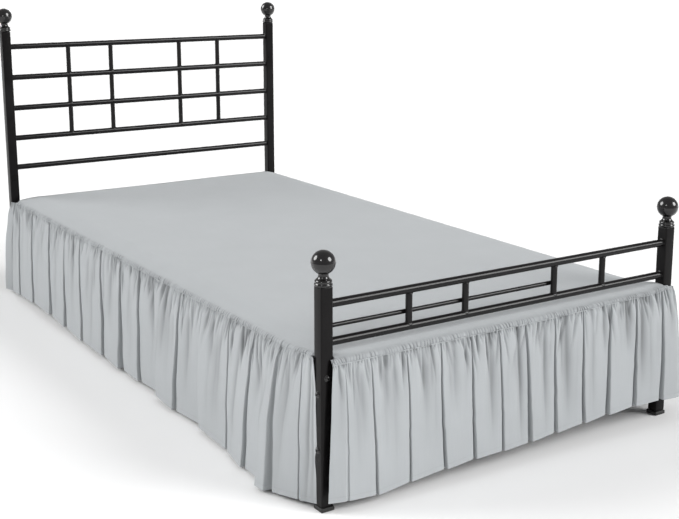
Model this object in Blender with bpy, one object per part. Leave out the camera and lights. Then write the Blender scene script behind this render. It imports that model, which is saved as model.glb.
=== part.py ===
"""Gathered bed skirt on the metal bed frame that it fits.

Metres, +Z up. Z = 0 is the floor, +Y points to the head of the bed and +X to its right side
as seen from the foot. X = Y = 0 is the middle of the whole object's footprint.
"""
import math
from collections import namedtuple

import bmesh
import bpy
from mathutils import Vector

# ---- driving dimensions -------------------------------------------------------------------
POST_SPAN = 1.027        # between post centres, across the bed
POST_RUN = 2.037         # between post centres, along the bed
POST_SIDE = 0.030        # square tube
POST_EDGE = 0.003        # rounded edge of the square tube
HEAD_POST_TOP = 0.916
FOOT_POST_TOP = 0.495
GAP = 0.0003             # between pieces that touch

SHOE_SIDE = 0.034        # cap under each post
SHOE_HEIGHT = 0.010

RAIL_WIDE = 0.0185       # round rails of both ends
BAR_WIDE = 0.0155        # upright bars between the rails
ROD_WIDE = 0.008         # thin rod half way up the footboard
HEAD_RAIL_HEIGHTS = (0.866, 0.761, 0.6555, 0.551, 0.449)
FOOT_RAIL_HEIGHTS = (0.461, 0.377)
FOOT_ROD_HEIGHT = 0.408
BAR_INSETS = (0.221, 0.379)     # upright bars, from each post centre

SIDE_RAIL_SPAN = 1.000   # between the centres of the two side rails
SIDE_RAIL_WIDE = 0.024
SIDE_RAIL_HEIGHT = 0.050
SIDE_RAIL_TOP = 0.3235
LEDGE_WIDE = 0.065       # strip inside each side rail that carries the slats
LEDGE_THICK = 0.004
LEDGE_SHORTER = 0.020    # than the side rail it is on
SLAT_COUNT = 9
SLAT_LENGTH = 0.880
SLAT_WIDE = 0.060
SLAT_FIRST = 0.915       # centre of the slat nearest the head
SLAT_LAST = -0.935       # centre of the slat nearest the foot
CROSS_WIDE = 0.024
CROSS_HEIGHT = 0.040
HEAD_CROSS_HEIGHT = 0.303
FOOT_CROSS_HEIGHT = 0.265
LOW_CROSS_HEIGHT = 0.139
HIDDEN_RAIL_HEIGHT = 0.3315     # round rail that holds the deck up at the foot

CLOTH = 0.0015           # thickness of every cloth piece
DECK_TOP = 0.347
DECK_HEAD = 0.950        # hemmed edge at the head
HEAD_TAIL = 0.034        # the deck's head corners reach this much further, beside the posts
HEAD_TAIL_SPAN = (0.430, 0.515)         # from the bed's middle line, where that starts and ends
SIDE_LIFT = 0.65         # share of its side fall that the deck has lost at the foot
SIDE_LIFT_SPAN = (0.860, 0.995)
FOOT_LIFT = 0.45         # share of its foot fall that it has lost at the right-hand corner
FOOT_LIFT_SPAN = (0.050, 0.420)
CORNER_LIFT = 0.006      # how far it rides up against the right foot post
CORNER_LIFT_ACROSS = (0.440, 0.500)
CORNER_LIFT_ALONG = (0.960, 1.030)
FLATTEN_ALONG = 0.950    # its side fall runs out between the foot posts, from here
NOTCH_CLEAR = 0.002      # cloth to post
SEAM_OUT_SIDE = 0.5195   # ruffle heading, from the bed's middle line
SEAM_OUT_FOOT = 1.0452
SEAM_GAP = 0.0007        # deck edge to ruffle heading
FRONT_REACH = 1.0698     # the foot ruffle's furthest fold, from the middle of the posts

BALL_RADIUS = 0.025
BALL_HEIGHT = 0.055      # ball's middle above the post
NECK_RADIUS = 0.0075

SLAT_THICK = DECK_TOP - CLOTH - 2 * GAP - SIDE_RAIL_TOP

HALF_SPAN = POST_SPAN / 2
HALF_RUN = POST_RUN / 2
HALF_POST = POST_SIDE / 2
REAR_REACH = HALF_RUN + BALL_RADIUS
LONG_SHIFT = (FRONT_REACH - REAR_REACH) / 2     # puts the footprint's middle at Y = 0

# How the deck's mid-surface falls, from the flat middle out to the seam.
Fall = namedtuple("Fall", "out drop")
SIDE_FALL = (
    Fall(0.2200, 0.0000),
    Fall(0.4450, 0.0002),
    Fall(0.4700, 0.0040),
    Fall(HALF_SPAN - HALF_POST - NOTCH_CLEAR, 0.0108),
    Fall(0.5065, 0.0136),
    Fall(0.5150, 0.0168),
    Fall(0.5188, 0.0215),
)
FOOT_FALL = (
    Fall(0.3500, 0.0000),
    Fall(0.7600, 0.0000),
    Fall(0.8800, 0.0000),
    Fall(0.9700, 0.0001),
    Fall(HALF_RUN - HALF_POST - NOTCH_CLEAR, 0.0008),
    Fall(HALF_RUN, 0.0022),
    Fall(HALF_RUN + HALF_POST + NOTCH_CLEAR, 0.0058),
    Fall(1.0418, 0.0092),
    Fall(1.0448, 0.0135),
)
NOTCH_ACROSS = SIDE_FALL[3].out      # the deck stops here, beside the foot posts
NOTCH_BACK = FOOT_FALL[4].out        # and here, behind them
NOTCH_FRONT = FOOT_FALL[6].out       # and goes on here, in front of them
STRIP_LEFT = SIDE_FALL[4].out        # end of the strip in front of the left post

# A fold is a narrow valley between two soft panels. "seam" and "hem" are its places along the
# ruffle at the top and the bottom, "before" and "after" are how far the two panels' lips stand
# out at the hem, "half" is the valley's half width there, "depth" how far it goes in, "start"
# is the height, from 0 at the seam to 1 at the hem, where it begins, and "clear" is the hem's
# height above the floor.
Fold = namedtuple("Fold", "seam hem before after half depth start clear")
SIDE_FOLDS = (
    Fold(0.958, 0.940, 0.542, 0.543, 0.006, 0.010, 0.00, 0.010),
    Fold(0.872, 0.838, 0.547, 0.545, 0.008, 0.016, 0.00, 0.017),
    Fold(0.750, 0.704, 0.547, 0.543, 0.007, 0.016, 0.00, 0.024),
    Fold(0.600, 0.553, 0.548, 0.543, 0.013, 0.018, 0.00, 0.025),
    Fold(0.450, 0.416, 0.548, 0.542, 0.009, 0.015, 0.45, 0.017),
    Fold(0.338, 0.290, 0.548, 0.544, 0.008, 0.016, 0.00, 0.014),
    Fold(0.190, 0.143, 0.548, 0.542, 0.007, 0.015, 0.00, 0.015),
    Fold(0.055, 0.025, 0.551, 0.541, 0.015, 0.018, 0.00, 0.012),
    Fold(-0.074, -0.098, 0.545, 0.539, 0.009, 0.016, 0.00, 0.013),
    Fold(-0.185, -0.222, 0.534, 0.553, 0.008, 0.006, 0.10, 0.016),
    Fold(-0.338, -0.340, 0.555, 0.548, 0.009, 0.020, 0.00, 0.010),
    Fold(-0.455, -0.482, 0.538, 0.553, 0.008, 0.008, 0.00, 0.013),
    Fold(-0.613, -0.642, 0.555, 0.557, 0.009, 0.020, 0.00, 0.010),
    Fold(-0.735, -0.752, 0.573, 0.566, 0.008, 0.014, 0.00, 0.009),
    Fold(-0.800, -0.842, 0.568, 0.592, 0.009, 0.008, 0.10, 0.009),
    Fold(-0.855, -0.893, 0.590, 0.576, 0.012, 0.016, 0.00, 0.009),
    Fold(-0.948, -0.972, 0.552, 0.550, 0.005, 0.008, 0.00, 0.013),
)
FOOT_FOLDS = (
    Fold(-0.478, -0.478, 1.060, 1.061, 0.005, 0.006, 0.00, 0.026),
    Fold(-0.411, -0.402, 1.058, 1.065, 0.006, 0.010, 0.00, 0.021),
    Fold(-0.317, -0.313, 1.059, 1.066, 0.007, 0.014, 0.00, 0.030),
    Fold(-0.222, -0.214, 1.058, 1.067, 0.007, 0.014, 0.00, 0.036),
    Fold(-0.135, -0.130, 1.059, 1.067, 0.007, 0.016, 0.00, 0.041),
    Fold(-0.055, -0.045, 1.062, 1.065, 0.009, 0.013, 0.20, 0.040),
    Fold(0.026, 0.037, 1.059, 1.069, 0.008, 0.016, 0.00, 0.044),
    Fold(0.118, 0.120, 1.060, 1.066, 0.009, 0.014, 0.00, 0.048),
    Fold(0.210, 0.211, 1.059, 1.068, 0.008, 0.016, 0.00, 0.053),
    Fold(0.304, 0.290, 1.060, 1.068, 0.009, 0.016, 0.00, 0.058),
    Fold(0.390, 0.383, 1.061, 1.067, 0.010, 0.015, 0.00, 0.060),
    Fold(0.480, 0.474, 1.061, 1.067, 0.011, 0.016, 0.00, 0.060),
)
ROW_HEIGHTS = (0.0, 0.14, 0.50, 1.0)    # rows of a ruffle, 0 at the seam and 1 at the hem
HEAD_ENDS = (0.992, 1.006, 1.020, 1.025)            # where a side ruffle ends, at each row
LEFT_FOOT_ENDS = (-1.008, -1.014, -1.023, -1.028)
RIGHT_FOOT_ENDS = (-0.966, -0.966, -0.966, -0.966)
FOOT_RUFFLE_ENDS = (-0.506, -0.509, -0.514, -0.521)     # and the foot ruffle's left-hand end
HEAD_END_OUT = 0.541     # how far out those ends stand at the hem
LEFT_FOOT_END_OUT = 0.540
RIGHT_FOOT_END_OUT = 0.548
FOOT_ENDS_OUT = (1.060, 1.061)
PAST_POST_SPAN = (0.965, 1.000)         # where a side ruffle's heading swings out past a post
SEAM_HALF = 0.0045       # a valley's half width at the seam
CROWN = 0.003            # how far a panel bows out between two valleys

# The foot ruffle turns the right-hand corner on a small arc round this pivot.
TURN_ACROSS = 0.5185
TURN_ALONG = 1.0300
TURN_LENGTH = 0.060      # cloth taken up by the turn
TURN_PAST = 0.042        # and how far the ruffle carries on along the side
TURN_FALL = 0.032        # its top edge drops this much on the way
TURN_STEPS = (0.15, 0.30, 0.45, 0.60, 0.80, 1.00)


# ---- materials ----------------------------------------------------------------------------
def principled(name, colour, roughness, metallic):
    material = bpy.data.materials.new(name)
    material.use_nodes = True
    shader = material.node_tree.nodes["Principled BSDF"]
    shader.inputs["Base Color"].default_value = (*colour, 1.0)
    shader.inputs["Roughness"].default_value = roughness
    shader.inputs["Metallic"].default_value = metallic
    return material


def frame_finish(name):
    return principled(name + "_finish", (0.012, 0.012, 0.013), 0.28, 0.0)


def shoe_finish(name):
    return principled(name + "_finish", (0.020, 0.020, 0.020), 0.55, 0.0)


def cloth_finish(name):
    return principled(name + "_finish", (0.54, 0.56, 0.57), 0.92, 0.0)


# ---- building blocks ----------------------------------------------------------------------
def clear_scene():
    for item in list(bpy.data.objects):
        bpy.data.objects.remove(item, do_unlink=True)


def smoothstep(low, high, value):
    part = min(1.0, max(0.0, (value - low) / (high - low)))
    return part * part * (3.0 - 2.0 * part)


def blend(start, end, part):
    return start + (end - start) * part


def add_object(name, mesh, location, finish, smooth_angle=None):
    item = bpy.data.objects.new(name, mesh)
    bpy.context.scene.collection.objects.link(item)
    item.location = location
    item.parent = bed_middle
    mesh.materials.append(finish(name))
    if smooth_angle is not None:
        mesh.shade_smooth()
        mesh.set_sharp_from_angle(angle=smooth_angle)
    return item


def box_mesh(name, size, edge=0.0):
    """A box standing on its origin; its upright edges are rounded if edge isn't zero."""
    mesh = bpy.data.meshes.new(name)
    shape = bmesh.new()
    bmesh.ops.create_cube(shape, size=1.0)
    for vertex in shape.verts:
        vertex.co = Vector((vertex.co.x * size[0], vertex.co.y * size[1],
                            (vertex.co.z + 0.5) * size[2]))
    if edge:
        upright = [line for line in shape.edges
                   if abs(line.verts[0].co.z - line.verts[1].co.z) > size[2] / 2]
        bmesh.ops.bevel(shape, geom=upright, offset=edge, segments=3, profile=0.5,
                        affect="EDGES", material=-1)
    shape.to_mesh(mesh)
    shape.free()
    return mesh


def round_mesh(name, width, length, sides=20):
    """A round bar lying along X, with its middle at the origin."""
    mesh = bpy.data.meshes.new(name)
    shape = bmesh.new()
    bmesh.ops.create_cone(shape, cap_ends=True, segments=sides, radius1=width / 2,
                          radius2=width / 2, depth=length)
    for vertex in shape.verts:
        vertex.co = Vector((vertex.co.z, vertex.co.x, vertex.co.y))
    shape.to_mesh(mesh)
    shape.free()
    return mesh


# ---- the frame ----------------------------------------------------------------------------
Corner = namedtuple("Corner", "name across along top")
CORNERS = (
    Corner("head_left", -HALF_SPAN, HALF_RUN, HEAD_POST_TOP),
    Corner("head_right", HALF_SPAN, HALF_RUN, HEAD_POST_TOP),
    Corner("foot_left", -HALF_SPAN, -HALF_RUN, FOOT_POST_TOP),
    Corner("foot_right", HALF_SPAN, -HALF_RUN, FOOT_POST_TOP),
)


def posts():
    for corner in CORNERS:
        name = corner.name + "_post"
        foot = SHOE_HEIGHT + GAP
        mesh = box_mesh(name, (POST_SIDE, POST_SIDE, corner.top - foot), POST_EDGE)
        add_object(name, mesh, (corner.across, corner.along, foot), frame_finish)


def shoes():
    for corner in CORNERS:
        name = corner.name + "_shoe"
        mesh = box_mesh(name, (SHOE_SIDE, SHOE_SIDE, SHOE_HEIGHT), POST_EDGE)
        add_object(name, mesh, (corner.across, corner.along, 0.0), shoe_finish)


def finial_profile():
    """Radius and height from the flange up the bell and the neck and over the ball."""
    flange = [(0.0165, 0.0), (0.0180, 0.0015), (0.0180, 0.0050), (0.0160, 0.0070),
              (0.0170, 0.0100), (0.0155, 0.0125), (0.0105, 0.0170),
              (NECK_RADIUS, 0.0230), (NECK_RADIUS, 0.0270)]
    low = math.asin(NECK_RADIUS * 1.1 / BALL_RADIUS)
    equator = math.pi / 2
    turns = [blend(low, equator, step / 4) for step in range(4)]
    turns += [blend(equator, math.pi, step / 5) for step in range(6)]
    ball = [(max(0.0, BALL_RADIUS * math.sin(turn)), BALL_HEIGHT - BALL_RADIUS * math.cos(turn))
            for turn in turns]
    return flange + ball


def finials():
    profile = finial_profile()
    for corner in CORNERS:
        name = corner.name + "_finial"
        mesh = bpy.data.meshes.new(name)
        shape = bmesh.new()
        base = shape.verts.new((0.0, 0.0, 0.0))
        line = [base] + [shape.verts.new((radius, 0.0, height)) for radius, height in profile]
        edges = [shape.edges.new(pair) for pair in zip(line, line[1:])]
        bmesh.ops.spin(shape, geom=line + edges, cent=(0, 0, 0), axis=(0, 0, 1),
                       angle=2 * math.pi, steps=20, use_merge=True)
        bmesh.ops.remove_doubles(shape, verts=shape.verts, dist=0.00005)
        bmesh.ops.recalc_face_normals(shape, faces=shape.faces)
        shape.to_mesh(mesh)
        shape.free()
        add_object(name, mesh, (corner.across, corner.along, corner.top + GAP),
                   frame_finish, math.radians(40))


def end_rails():
    length = POST_SPAN - POST_SIDE - 2 * GAP
    rows = [("head_rail_%d" % (number + 1), HALF_RUN, height)
            for number, height in enumerate(HEAD_RAIL_HEIGHTS)]
    rows += [("foot_rail_%d" % (number + 1), -HALF_RUN, height)
             for number, height in enumerate(FOOT_RAIL_HEIGHTS)]
    rows.append(("foot_hidden_rail", -HALF_RUN, HIDDEN_RAIL_HEIGHT))
    rows.append(("foot_low_cross", -HALF_RUN, LOW_CROSS_HEIGHT))
    for name, along, height in rows:
        mesh = round_mesh(name, RAIL_WIDE, length)
        add_object(name, mesh, (0.0, along, height), frame_finish, math.radians(40))


def bar_places():
    places = []
    for inset in BAR_INSETS:
        places += [-HALF_SPAN + inset, HALF_SPAN - inset]
    return sorted(places)


def upright_bar(name, across, along, low, high):
    length = high - low - RAIL_WIDE - 2 * GAP
    mesh = round_mesh(name, BAR_WIDE, length, 16)
    item = add_object(name, mesh, (across, along, (high + low) / 2), frame_finish,
                      math.radians(40))
    item.rotation_euler = (0.0, math.radians(90), 0.0)


def upright_bars():
    barred = HEAD_RAIL_HEIGHTS[:4]
    for column, across in enumerate(bar_places()):
        for row, (high, low) in enumerate(zip(barred, barred[1:])):
            upright_bar("head_bar_%d_%d" % (column + 1, row + 1), across, HALF_RUN, low, high)
        high, low = FOOT_RAIL_HEIGHTS
        upright_bar("foot_bar_%d" % (column + 1), across, -HALF_RUN, low, high)


def foot_rod():
    """It starts at the left post, passes behind two bars and stops behind the third."""
    left = -HALF_SPAN + HALF_POST + GAP
    right = bar_places()[2] + BAR_WIDE / 2
    along = -HALF_RUN + BAR_WIDE / 2 + GAP + ROD_WIDE / 2
    mesh = round_mesh("foot_rod", ROD_WIDE, right - left, 12)
    add_object("foot_rod", mesh, ((left + right) / 2, along, FOOT_ROD_HEIGHT), frame_finish,
               math.radians(40))


def side_rails():
    length = POST_RUN - POST_SIDE - 2 * GAP
    low = SIDE_RAIL_TOP - SIDE_RAIL_HEIGHT
    ledge_middle = SIDE_RAIL_SPAN / 2 - SIDE_RAIL_WIDE / 2 - GAP - LEDGE_WIDE / 2
    for side, sign in (("left", -1), ("right", 1)):
        rail = box_mesh(side + "_side_rail", (SIDE_RAIL_WIDE, length, SIDE_RAIL_HEIGHT))
        add_object(side + "_side_rail", rail, (sign * SIDE_RAIL_SPAN / 2, 0.0, low),
                   frame_finish)
        ledge = box_mesh(side + "_ledge", (LEDGE_WIDE, length - LEDGE_SHORTER, LEDGE_THICK))
        add_object(side + "_ledge", ledge,
                   (sign * ledge_middle, 0.0, SIDE_RAIL_TOP - LEDGE_THICK), frame_finish)


def cross_rails():
    length = POST_SPAN - POST_SIDE - 2 * GAP
    for name, along, height in (("head_cross_rail", HALF_RUN, HEAD_CROSS_HEIGHT),
                                ("foot_cross_rail", -HALF_RUN, FOOT_CROSS_HEIGHT)):
        mesh = box_mesh(name, (length, CROSS_WIDE, CROSS_HEIGHT))
        add_object(name, mesh, (0.0, along, height - CROSS_HEIGHT / 2), frame_finish)


def slats():
    for number in range(SLAT_COUNT):
        name = "slat_%d" % (number + 1)
        along = blend(SLAT_FIRST, SLAT_LAST, number / (SLAT_COUNT - 1))
        mesh = box_mesh(name, (SLAT_LENGTH, SLAT_WIDE, SLAT_THICK))
        add_object(name, mesh, (0.0, along, SIDE_RAIL_TOP + GAP), frame_finish)


# ---- the cloth ----------------------------------------------------------------------------
def cloth_sheet(name, rows, drop_face=None):
    """A sheet whose mid-surface passes through rows of points, all of the same length."""
    mesh = bpy.data.meshes.new(name)
    shape = bmesh.new()
    columns = len(rows[0])
    bmesh.ops.create_grid(shape, x_segments=columns - 1, y_segments=len(rows) - 1, size=0.5)
    ordered = sorted(shape.verts, key=lambda vertex: (round(vertex.co.y, 5), vertex.co.x))
    points = [point for row in rows for point in row]
    for vertex, point in zip(ordered, points):
        vertex.co = point
    if drop_face:
        outside = [face for face in shape.faces if drop_face(face.calc_center_median())]
        bmesh.ops.delete(shape, geom=outside, context="FACES")
    shape.to_mesh(mesh)
    shape.free()
    item = add_object(name, mesh, (0.0, 0.0, 0.0), cloth_finish, math.radians(60))
    thickness = item.modifiers.new("thickness", "SOLIDIFY")
    thickness.thickness = CLOTH
    thickness.offset = 0.0
    return item


def side_share(along):
    """How much of the side fall is left: the side seam lifts towards the foot."""
    return 1.0 - SIDE_LIFT * smoothstep(*SIDE_LIFT_SPAN, -along)


def foot_share(across):
    """The foot seam lifts a little towards the right."""
    return 1.0 - FOOT_LIFT * smoothstep(*FOOT_LIFT_SPAN, across)


def corner_lift(across, along):
    """The deck rides up a little against the right foot post."""
    return (CORNER_LIFT * smoothstep(*CORNER_LIFT_ACROSS, across)
            * smoothstep(*CORNER_LIFT_ALONG, -along))


def deck_middle_height(side, end):
    """Height of the deck's mid-surface, from a step of each of its two falls."""
    across, along = side.out, -end.out
    share = side_share(along)
    if abs(across) <= NOTCH_ACROSS:
        share *= 1.0 - smoothstep(FLATTEN_ALONG, NOTCH_BACK, -along)
    elif end.out >= NOTCH_FRONT:
        share = 0.0
    return (DECK_TOP - CLOTH / 2 - side.drop * share - end.drop * foot_share(across)
            + corner_lift(across, along))


def deck():
    half = [Fall(0.0, 0.0)] + list(SIDE_FALL)
    across_steps = [Fall(-step.out, step.drop) for step in reversed(half[1:])] + half
    along_steps = [Fall(-DECK_HEAD, 0.0), Fall(-0.60, 0.0), Fall(0.0, 0.0)] + list(FOOT_FALL)
    rows = []
    for number, end in enumerate(along_steps):
        row = []
        for side in across_steps:
            along = -end.out
            if number == 0:
                along += HEAD_TAIL * smoothstep(*HEAD_TAIL_SPAN, abs(side.out))
            row.append(Vector((side.out, along, deck_middle_height(side, end))))
        rows.append(row)

    def in_notch(point):
        beside = abs(point.x) > NOTCH_ACROSS and -NOTCH_FRONT < point.y < -NOTCH_BACK
        past_strip = point.x < -STRIP_LEFT and point.y < -NOTCH_BACK
        return beside or past_strip

    cloth_sheet("deck", rows, in_notch)


def hem_height(folds, along):
    """The hem's height above the floor, read along the row of folds."""
    marks = sorted((fold.hem, fold.clear) for fold in folds)
    if along <= marks[0][0]:
        return marks[0][1]
    for (low, low_height), (high, high_height) in zip(marks, marks[1:]):
        if along <= high:
            return blend(low_height, high_height, (along - low) / (high - low))
    return marks[-1][1]


def fold_section(folds, height, first, last, base, reach):
    """Points (along, out) across a ruffle at one height, from its first end to its last."""
    ease = height ** 0.6
    lips = []
    for fold in folds:
        along = blend(fold.seam, fold.hem, height)
        strength = max(0.0, (height - fold.start) / (1.0 - fold.start)) ** 0.6
        lips.append((along, blend(SEAM_HALF, fold.half, height),
                     blend(base(along), fold.before, ease),
                     blend(base(along), fold.after, ease), fold.depth * strength))
    points = [(first, blend(base(first), reach[0], ease))]
    way = 1.0 if last > first else -1.0
    crown = CROWN * ease
    for along, half, before, after, depth in lips:
        start, out = points[-1]
        lip = along - way * half
        for part in (0.33, 0.67):
            points.append((blend(start, lip, part), blend(out, before, part) + crown))
        bottom = min(before, after) - depth
        points.append((lip, before))
        points.append((along - way * half * 0.35, bottom))
        points.append((along + way * half * 0.35, bottom))
        points.append((along + way * half, after))
    start, out = points[-1]
    end = blend(base(last), reach[1], ease)
    for part in (0.33, 0.67):
        points.append((blend(start, last, part), blend(out, end, part) + crown))
    points.append((last, end))
    return points


def side_base(along):
    """The heading's distance out; it swings out past the posts at both ends."""
    past_post = HALF_SPAN + HALF_POST + NOTCH_CLEAR + CLOTH
    return blend(SEAM_OUT_SIDE, past_post, smoothstep(*PAST_POST_SPAN, abs(along)))


def side_ruffle(name, sign, head_end, foot_end, foot_reach):
    """head_end and foot_end give the end's place at each of the rows."""
    rows = []
    for number, height in enumerate(ROW_HEIGHTS):
        section = fold_section(SIDE_FOLDS, height, head_end[number], foot_end[number],
                               side_base, (HEAD_END_OUT, foot_reach))
        row = []
        for along, out in section:
            top = DECK_TOP - CLOTH - SIDE_FALL[-1].drop * side_share(along) - SEAM_GAP
            hem = hem_height(SIDE_FOLDS, along)
            row.append(Vector((sign * out, along, blend(top, hem, height))))
        rows.append(row)
    cloth_sheet(name, rows)


def foot_base(across):
    """The foot ruffle's heading is straight: it stands out the same all along."""
    return SEAM_OUT_FOOT


def turned(along, out):
    """A point of the foot ruffle, carried round the right-hand corner where along passes it."""
    reach = out - TURN_ALONG
    if along <= TURN_ACROSS:
        return along, -out
    if along >= TURN_ACROSS + TURN_LENGTH:
        return TURN_ACROSS + reach, -TURN_ALONG + along - TURN_ACROSS - TURN_LENGTH
    turn = (along - TURN_ACROSS) / TURN_LENGTH * math.pi / 2
    return TURN_ACROSS + reach * math.sin(turn), -TURN_ALONG - reach * math.cos(turn)


def foot_ruffle():
    tail = TURN_ACROSS + TURN_LENGTH + TURN_PAST
    rows = []
    for number, height in enumerate(ROW_HEIGHTS):
        section = fold_section(FOOT_FOLDS, height, FOOT_RUFFLE_ENDS[number], TURN_ACROSS,
                               foot_base, FOOT_ENDS_OUT)
        out = section[-1][1]
        section += [(blend(TURN_ACROSS, tail, part), out) for part in TURN_STEPS]
        row = []
        for along, reach in section:
            top = (DECK_TOP - CLOTH - FOOT_FALL[-1].drop * foot_share(along) - SEAM_GAP
                   + corner_lift(along, -SEAM_OUT_FOOT))
            top -= TURN_FALL * smoothstep(TURN_ACROSS, tail, along)
            hem = hem_height(FOOT_FOLDS, along)
            across, back = turned(along, reach)
            row.append(Vector((across, back, blend(top, hem, height))))
        rows.append(row)
    cloth_sheet("foot_ruffle", rows)


clear_scene()
bed_middle = bpy.data.objects.new("bed_middle", None)
bpy.context.scene.collection.objects.link(bed_middle)
bed_middle.location = (0.0, LONG_SHIFT, 0.0)

posts()
shoes()
finials()
end_rails()
upright_bars()
foot_rod()
side_rails()
cross_rails()
slats()
deck()
side_ruffle("left_ruffle", -1, HEAD_ENDS, LEFT_FOOT_ENDS, LEFT_FOOT_END_OUT)
side_ruffle("right_ruffle", 1, HEAD_ENDS, RIGHT_FOOT_ENDS, RIGHT_FOOT_END_OUT)
foot_ruffle()
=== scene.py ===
"""Gathered bed skirt on its metal bed: cloth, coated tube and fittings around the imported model.

Metres, +Z up, +Y to the head of the bed. Places along and across the bed are measured from the
middle between its four posts, and bed_point() carries them into the model's own frame.
"""
import math
import random
from collections import namedtuple

import bmesh
import bpy
import numpy as np
from bpy.props import FloatProperty, FloatVectorProperty, IntProperty, PointerProperty
from mathutils import Matrix, Vector


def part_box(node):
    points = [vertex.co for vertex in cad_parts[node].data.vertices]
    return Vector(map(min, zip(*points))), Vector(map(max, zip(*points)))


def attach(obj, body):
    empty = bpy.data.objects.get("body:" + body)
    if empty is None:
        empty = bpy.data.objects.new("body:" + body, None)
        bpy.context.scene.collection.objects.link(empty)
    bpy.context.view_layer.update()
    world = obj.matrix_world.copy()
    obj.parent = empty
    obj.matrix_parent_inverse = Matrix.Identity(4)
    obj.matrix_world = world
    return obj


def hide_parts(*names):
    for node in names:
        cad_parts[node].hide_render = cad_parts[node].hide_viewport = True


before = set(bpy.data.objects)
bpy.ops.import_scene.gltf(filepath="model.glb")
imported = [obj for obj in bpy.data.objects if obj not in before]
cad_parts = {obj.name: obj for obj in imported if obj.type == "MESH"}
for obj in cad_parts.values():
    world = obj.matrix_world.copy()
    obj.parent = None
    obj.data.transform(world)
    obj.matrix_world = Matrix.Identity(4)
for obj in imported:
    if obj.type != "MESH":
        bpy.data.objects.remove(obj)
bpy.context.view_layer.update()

bl_info = {
    "name": "Gathered Bed Skirt",
    "version": (1, 0, 0),
    "blender": (4, 5, 0),
    "location": "3D View > Sidebar > Bed Skirt",
    "description": "Dresses a metal bed frame in a gathered, split-corner bed skirt",
    "category": "Add Mesh",
}


# ---- sizes read from the model ------------------------------------------------------------
def middle(node):
    low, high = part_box(node)
    return (low + high) / 2


def extent(node):
    low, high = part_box(node)
    return high - low


LONG_SHIFT = (middle("head_left_post").y + middle("foot_left_post").y) / 2
HALF_SPAN = middle("foot_right_post").x
HALF_RUN = middle("head_left_post").y - LONG_SHIFT
HALF_POST = extent("foot_left_post").x / 2
DECK_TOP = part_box("deck")[1].z
DECK_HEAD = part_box("deck")[1].y - LONG_SHIFT - 0.034    # hemmed edge between the head corners
RAIL_RADIUS = extent("head_rail_1").z / 2
BAR_RADIUS = extent("head_bar_1_1").x / 2
CORNERS = ("head_left", "head_right", "foot_left", "foot_right")
RAIL_PAST, BAR_PAST, ROD_PAST = 0.004, 0.006, 0.003     # how far each reaches into its neighbour
ROD_SHARE = 0.64         # the thin rod's radius, as a share of the plain rod's width
ROD_SIDES, ROD_WELD = 28, 0.0012

# ---- how the skirt is cut and how it falls ------------------------------------------------
SEAM_OUT_SIDE = 0.5195   # ruffle heading, from the bed's middle line
SEAM_OUT_FOOT = 1.0452
SEAM_TUCK = 0.0055       # how far the ruffle goes up where there is no deck's edge
SEAM_BAND = ((0.0170, -0.0014), (0.0120, 0.0001), (0.0080, 0.0005), (0.0045, 0.0007),
             (0.0020, 0.0007), (0.0002, 0.0003), (-0.0010, -0.0010))    # distance in, and lift
SEAM_PULL = 0.80         # share of a gather's depth that the deck's edge is drawn in
SEAM_PULL_REACH = 0.0055
SEAM_SINK = 0.0055       # the deck's own sheet goes this far under that gathered edge
SEAM_GAP = 0.0016        # between the deck's cloth and a ruffle's heading
SEAM_ROLL = 0.002        # cloth taken up in rolling over the deck's edge
SIDE_LYING = ((-0.998, -0.985), (0.965, 0.980))     # where a side ruffle comes onto the deck's
FOOT_LYING = ((-0.505, -0.500), (0.500, 0.514))     # edge and leaves it, and the foot ruffle
NOTCH_CLEAR = 0.002      # cloth to post
CAD_CLOTH = 0.0015       # thickness of the model's plain sheets
POST_RISE = {"head": 0.003, "foot": 0.007}  # how much higher a post stands than the plain one
HEAD_TAIL = 0.034        # the deck's head corners reach this much further, beside the posts
HEAD_TAIL_SPAN = (0.430, 0.515)
SIDE_LIFT = 0.65         # share of its side fall that the deck has lost at the foot
SIDE_LIFT_SPAN = (0.860, 0.995)
FOOT_LIFT = 0.45         # share of its foot fall that it has lost at the right-hand corner
FOOT_LIFT_SPAN = (0.050, 0.420)
CORNER_LIFT = 0.006      # how far it rides up against the right foot post
CORNER_LIFT_ACROSS = (0.440, 0.500)
CORNER_LIFT_ALONG = (0.960, 1.030)
FLATTEN_ALONG = 0.950    # its side fall runs out between the foot posts, from here
PAST_POST_SPAN = (0.965, 1.000)

# The deck's fall from the flat middle to the seam: distance out, and drop.
NOTCH_ACROSS = HALF_SPAN - HALF_POST - NOTCH_CLEAR
STRIP_LEFT = 0.5065
NOTCH_BACK = HALF_RUN - HALF_POST - NOTCH_CLEAR
NOTCH_FRONT = HALF_RUN + HALF_POST + NOTCH_CLEAR
Fall = namedtuple("Fall", "out drop")
SIDE_FALL = (Fall(0.0, 0.0), Fall(0.4450, 0.0002), Fall(0.4700, 0.0040), Fall(NOTCH_ACROSS, 0.0108),
             Fall(STRIP_LEFT, 0.0136), Fall(0.5150, 0.0168), Fall(0.5188, 0.0215))
FOOT_FALL = (Fall(0.0, 0.0), Fall(0.9700, 0.0001), Fall(NOTCH_BACK, 0.0008),
             Fall(HALF_RUN, 0.0022), Fall(NOTCH_FRONT, 0.0058), Fall(1.0418, 0.0092),
             Fall(1.0448, 0.0135))

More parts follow.
